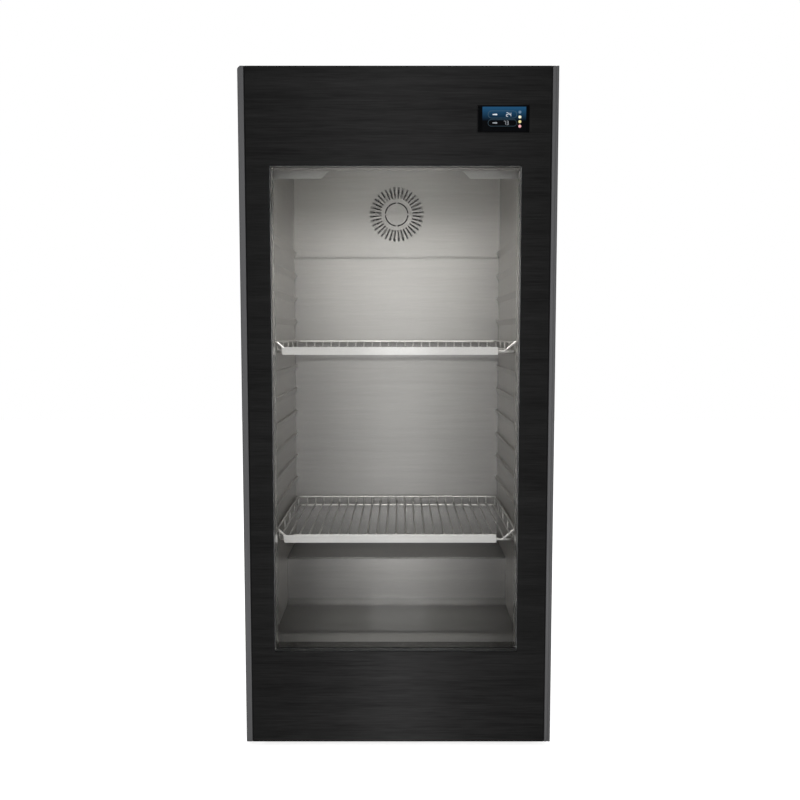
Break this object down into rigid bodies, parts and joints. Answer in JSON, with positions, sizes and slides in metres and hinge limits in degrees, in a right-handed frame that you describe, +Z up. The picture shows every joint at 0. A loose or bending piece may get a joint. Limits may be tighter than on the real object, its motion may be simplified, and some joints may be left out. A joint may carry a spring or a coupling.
{
  "type": "glass-door dry-ageing cabinet",
  "caption": "Upright insulated cabinet with a framed glass door, wire shelves on wall ledges, a fan grille in the rear wall and a compressor under a floor step, for dry-ageing meat.",
  "frame": {"origin": "on the floor under the middle of the cabinet, door closed", "axes": "+Z up, the door faces -Y, +X to the right of someone who faces the door"},
  "size_m": [0.595, 0.65, 1.3],
  "materials": {
    "side_steel": "satin grey coil-coated steel",
    "galvanised": "galvanised sheet",
    "foam": "rigid polyurethane foam",
    "stainless": "fine brushed stainless",
    "fin_metal": "mill finish",
    "motor_metal": "cast",
    "fan_plastic": "moulded",
    "lamp": "opal diffuser",
    "compressor_black": "black enamel",
    "rubber": "moulded",
    "black_plastic": "moulded, fine grain",
    "copper": "drawn copper tube",
    "hinge_steel": "zinc plated",
    "black_brushed_steel": "black coated, brushed along the width",
    "edge_aluminium": "anodised grey",
    "glass": "clear, lightly tinted",
    "display_glass": "gloss black lens",
    "nylon": "moulded nylon",
    "shelf_wire": "polished wire",
    "shelf_bar": "white gloss"
  },
  "bodies": {
    "cabinet": {"left_side_panel": "side_steel", "right_side_panel": "side_steel", "top_panel": "side_steel", "back_panel": "galvanised", "base_pan": "galvanised", "front_frame": "side_steel", "cabinet_foam": "foam", "left_liner_wall": "stainless", "right_liner_wall": "stainless", "ceiling_liner": "stainless", "rear_liner": "stainless", "floor_liner": "stainless", "left_shelf_runners": "stainless", "right_shelf_runners": "stainless", "evaporator_cover": "stainless", "duct_cover": "stainless", "evaporator_coil": "fin_metal", "evaporator_fan_frame": "fan_plastic", "evaporator_fan_motor": "motor_metal", "light_valance": "stainless", "light_bar": "fin_metal", "light_diffuser": "lamp", "compressor_deck": "galvanised", "compressor": "compressor_black", "compressor_mounts": "rubber", "condenser_coil": "fin_metal", "condenser_fan_frame": "fan_plastic", "condenser_fan_motor": "motor_metal", "evaporation_tray": "black_plastic", "drain_tube": "rubber", "refrigerant_lines": "copper", "machine_cover": "galvanised", "cover_screws": "stainless", "power_inlet": "black_plastic", "top_hinge_bracket": "hinge_steel", "bottom_hinge_bracket": "hinge_steel", "hinge_screws": "stainless", "rear_spacers": "black_plastic", "feet": "rubber"},
    "door": {"door_front_plate": "black_brushed_steel", "left_edge_profile": "edge_aluminium", "right_grip_profile": "edge_aluminium", "door_top_cap": "black_plastic", "door_bottom_cap": "black_plastic", "door_foam": "foam", "inner_door_frame": "stainless", "outer_pane": "glass", "glazing_spacer": "fin_metal", "inner_pane": "glass", "door_gasket": "rubber", "display_housing": "black_plastic", "display_lens": "display_glass", "hinge_bushes": "nylon"},
    "upper_shelf": {"upper_wire_shelf": "shelf_wire", "upper_shelf_bar": "shelf_bar"},
    "lower_shelf": {"lower_wire_shelf": "shelf_wire", "lower_shelf_bar": "shelf_bar"},
    "evaporator_rotor": {"evaporator_fan_rotor": "fan_plastic"},
    "condenser_rotor": {"condenser_fan_rotor": "fan_plastic"}
  },
  "joints": [
    {"name": "door_hinge", "type": "hinge", "parent": "cabinet", "child": "door", "pos_m": [-0.2755, -0.297, 0.65], "axis": [0, 0, -1], "range_deg": [0, 105]},
    {"name": "upper_shelf_slide", "type": "slide", "parent": "cabinet", "child": "upper_shelf", "axis": [0, -1, 0], "range_m": [0, 0.08]},
    {"name": "lower_shelf_slide", "type": "slide", "parent": "cabinet", "child": "lower_shelf", "axis": [0, -1, 0], "range_m": [0, 0.08]},
    {"name": "evaporator_fan_spin", "type": "hinge", "parent": "cabinet", "child": "evaporator_rotor", "pos_m": [-0.005, 0.225, 1.1055], "axis": [0, 1, 0], "continuous": true},
    {"name": "condenser_fan_spin", "type": "hinge", "parent": "cabinet", "child": "condenser_rotor", "pos_m": [0.145, 0.205, 0.076], "axis": [0, 1, 0], "continuous": true}
  ]
}
